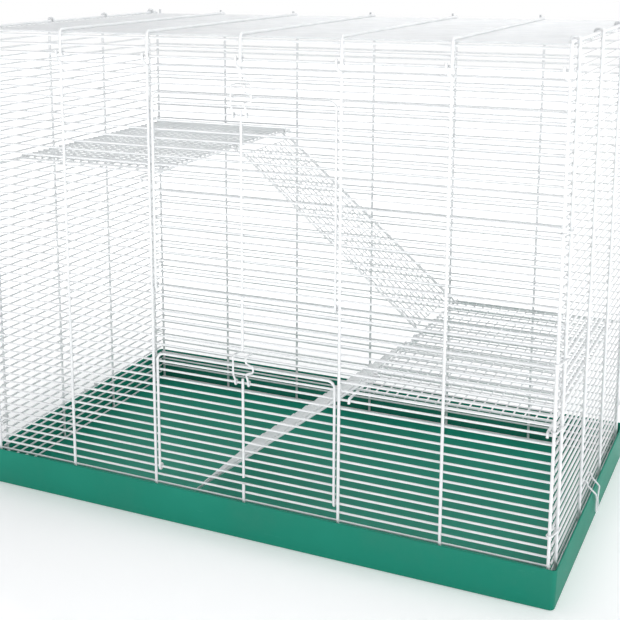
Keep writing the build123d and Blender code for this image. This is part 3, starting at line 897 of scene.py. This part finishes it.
# %% [markdown]
# The upper ramp is turned down until it lies on the lower platform's edge wire, with a hair of room. The lower ramp
# is made on the left like the upper one, turned down until its foot is just above the tray's floor, and mirrored.

# %% Place the ramps
UPPER_RAIL_Y, LOWER_RAIL_Y = 44 * MM, -138 * MM
UPPER_RAMP_LAP, LOWER_RAMP_LENGTH, RAMP_FOOT = 5 * MM, 325 * MM, 4.9 * MM

run, drop = 2 * INNER_X, level_z(UPPER_LEVEL) - level_z(LOWER_LEVEL)
edge_to_edge = math.hypot(run, drop)
seat = 2 * FRAME_WIRE / math.cos(math.pi / 8) + SEAT_GAP
upper_ramp = flat_ramp("upper_ramp_wires", edge_to_edge + UPPER_RAMP_LAP, *rail_places(UPPER_RAIL_Y))
place_ramp(upper_ramp, UPPER_LEVEL, math.atan2(drop, run) - math.asin(seat / edge_to_edge))
finish_piece(upper_ramp, "upper_ramp", "upper_ramp")

facing_right = flat_ramp("facing_right", LOWER_RAMP_LENGTH, *rail_places(LOWER_RAIL_Y))
place_ramp(facing_right, LOWER_LEVEL, math.asin((level_z(LOWER_LEVEL) - RAMP_FOOT) / LOWER_RAMP_LENGTH))
lower_ramp = copy_to_other_side(facing_right, "lower_ramp_wires")
bpy.data.objects.remove(facing_right)
finish_piece(lower_ramp, "lower_ramp", "lower_ramp")

# %% [markdown]
# ## The tray clips
# A clip is one springy wire: an eye on a side panel bar, a leg that runs out over the tray's rim and down, a round
# finger loop, and the same way back up to a second eye. Half of it is bent and mirrored front to back. The neck is
# placed by a fillet that would touch the ring from outside.

# %% Tray clips
CLIP_BAR, CLIP_HALF, CLIP_OUT_X = 5, 14 * MM, 393.5 * MM
CLIP_RING_Z, CLIP_RING = 25 * MM, 6.7 * MM
CLIP_EYE_X, CLIP_EYE_ANGLE = SIDE_X + BAR + LATCH_WIRE + EYE_PLAY, math.radians(270)
CLIP_STRAIGHT, CLIP_BEND = 2.5 * MM, 2 * MM
KNEE_Y, KNEE_Z = CLIP_HALF - 1 * MM, 47 * MM
NECK_FILLET, NECK_HALF, NECK_Y = 4 * MM, 1.4 * MM, 3.2 * MM
RING_TOP_Y, RING_TOP_Z = CLIP_RING * 1.02, CLIP_RING_Z + 3.4 * MM

clip_z = bar_z(CLIP_BAR)
fillet_z = CLIP_RING_Z + math.sqrt((CLIP_RING + NECK_FILLET) ** 2 - (NECK_FILLET + NECK_HALF) ** 2)
corners = [(CLIP_EYE_X, CLIP_HALF, clip_z), (CLIP_EYE_X, CLIP_HALF, clip_z - CLIP_STRAIGHT),
           (CLIP_OUT_X, KNEE_Y, KNEE_Z), (CLIP_OUT_X, NECK_Y, fillet_z + 2 * MM),
           (CLIP_OUT_X, RING_TOP_Y, RING_TOP_Z), (CLIP_OUT_X, CLIP_RING, CLIP_RING_Z)]
clip_eye = (Vector((SIDE_X, CLIP_HALF, clip_z)), Y_AXIS, CLIP_EYE_ANGLE)
quarter_ring = (Vector((CLIP_OUT_X, 0, CLIP_RING_Z)), -X_AXIS, math.radians(90))
right_clip = bent_wire("right_clip_wire", corners, LATCH_WIRE, CLIP_BEND, clip_eye, quarter_ring, LATCH_SIDES)
mirror_half(right_clip, (False, True, False))
left_clip = copy_to_other_side(right_clip, "left_clip_wire")
finish_piece(right_clip, "right_clip", "right_tray_clip")
finish_piece(left_clip, "left_clip", "left_tray_clip")

# %% [markdown]
# ## The corner rings
# Each corner is held by small wire rings round the last upright of one panel and the first of its neighbour. A ring
# starts as a torus; one half of it is moved across to the other upright, which makes the long ring.

# %% Corner rings
RING_WIRE, RING_PLAY = 0.9 * MM, 0.2 * MM
RING_ROOM = UPRIGHT / math.cos(math.pi / 8) + RING_PLAY + RING_WIRE
RING_BARS = (7, 18, 25, 38)


def long_ring(first, second, height):
    """A ring round two uprights, given their places in plan."""
    clear_selection()
    bpy.ops.mesh.primitive_torus_add(major_radius=RING_ROOM, minor_radius=RING_WIRE,
                                     major_segments=24, minor_segments=8)
    ring = bpy.context.object
    gap = (second - first).length
    pick(ring, "vertex", lambda place, normal: place.x > 0.01 * MM)
    bpy.ops.transform.translate(value=(gap, 0, 0))
    stop_editing()
    ring.rotation_euler = (0, 0, math.atan2(second.y - first.y, second.x - first.x))
    ring.location = (first.x, first.y, height)
    bpy.ops.object.transform_apply(location=True, rotation=True, scale=True)
    return ring


rings = []
for sign_x in (-1, 1):
    for sign_y in (-1, 1):
        first = Vector((sign_x * END_WIRE_X, sign_y * UPRIGHT_Y, 0))
        second = Vector((sign_x * UPRIGHT_X, sign_y * SIDE_WIRE_Y[-1], 0))
        rings += [long_ring(first, second, bar_z(bar) + PITCH / 2) for bar in RING_BARS]
finish_piece(join("corner_rings", rings), "wire_top", "corner_clips")

# %% [markdown]
# ## Floor and light
# The photograph has a plain white ground. The floor is a pale sheet that glows a little near the cage, where it has
# to keep the soft shadow, and more further out, up to the white of the world behind it, so that its edge is lost.

# %% Floor
FLOOR_SIDE, SHADOW_REACH, WHITE_FROM = 12, 0.5, 1.2
FLOOR_GREY, GLOW_NEAR_CAGE = 0.93, 0.18

clear_selection()
bpy.ops.mesh.primitive_plane_add(size=FLOOR_SIDE, location=(0, 0, 0))
floor = bpy.context.object
floor.name = "floor"
floor_material, tree, shader, place = new_material("floor_white")
shader.inputs["Base Color"].default_value = (FLOOR_GREY, FLOOR_GREY, FLOOR_GREY, 1)
shader.inputs["Roughness"].default_value = 0.9
shader.inputs["Specular IOR Level"].default_value = 0.1
far = tree.nodes.new("ShaderNodeVectorMath")
far.operation = "LENGTH"
connect(tree, place, far.inputs[0])
glow = mapped(tree, far.outputs["Value"], SHADOW_REACH, WHITE_FROM, out_low=GLOW_NEAR_CAGE)
connect(tree, glow, shader.inputs["Emission Strength"])
shader.inputs["Emission Color"].default_value = (1.0, 1.0, 1.0, 1.0)
floor.data.materials.append(floor_material)
print("floor laid, white from", WHITE_FROM, "m")

# %% [markdown]
# The world gives a dim even light, but is plain white to the camera and in reflections. A key lamp stands on the
# right, a wide low one faces the front, and one hangs above.

# %% Light
ROOM_STRENGTH = 0.4

world = bpy.data.worlds.new("studio")
bpy.context.scene.world = world
world.use_nodes = True
tree = world.node_tree
tree.nodes.clear()
output = tree.nodes.new("ShaderNodeOutputWorld")
room_light, white_ground = tree.nodes.new("ShaderNodeBackground"), tree.nodes.new("ShaderNodeBackground")
room_light.inputs["Color"].default_value = (0.95, 0.97, 1.0, 1)
room_light.inputs["Strength"].default_value = ROOM_STRENGTH
white_ground.inputs["Color"].default_value = (1, 1, 1, 1)
white_ground.inputs["Strength"].default_value = 1.0
path = tree.nodes.new("ShaderNodeLightPath")
seen = arithmetic(tree, "MAXIMUM", path.outputs["Is Camera Ray"], path.outputs["Is Glossy Ray"])
seen = arithmetic(tree, "MAXIMUM", seen, path.outputs["Is Transmission Ray"])
chooser = tree.nodes.new("ShaderNodeMixShader")
connect(tree, seen, chooser.inputs["Fac"])
connect(tree, room_light.outputs["Background"], chooser.inputs[1])
connect(tree, white_ground.outputs["Background"], chooser.inputs[2])
connect(tree, chooser.outputs["Shader"], output.inputs["Surface"])


def soft_box(name, place, target, width, height, power):
    """An area lamp of some width and height in metres and power in watts, aimed at the target."""
    lamp = bpy.data.lights.new(name, "AREA")
    lamp.shape, lamp.size, lamp.size_y, lamp.energy = "RECTANGLE", width, height, power
    holder = bpy.data.objects.new(name, lamp)
    bpy.context.scene.collection.objects.link(holder)
    holder.location = place
    holder.rotation_euler = (Vector(target) - Vector(place)).to_track_quat("-Z", "Y").to_euler()


soft_box("key", (2.3, -0.5, 1.5), (0, 0, 0.2), 1.2, 1.2, 30)
soft_box("low_front", (-0.3, -2.4, 0.2), (0, 0, 0.15), 2.4, 0.3, 18)
soft_box("top", (-0.2, 0.5, 2.4), (0, 0, 0), 1.8, 1.8, 25)
bpy.context.scene.view_settings.view_transform = "Standard"
print("lamps placed")
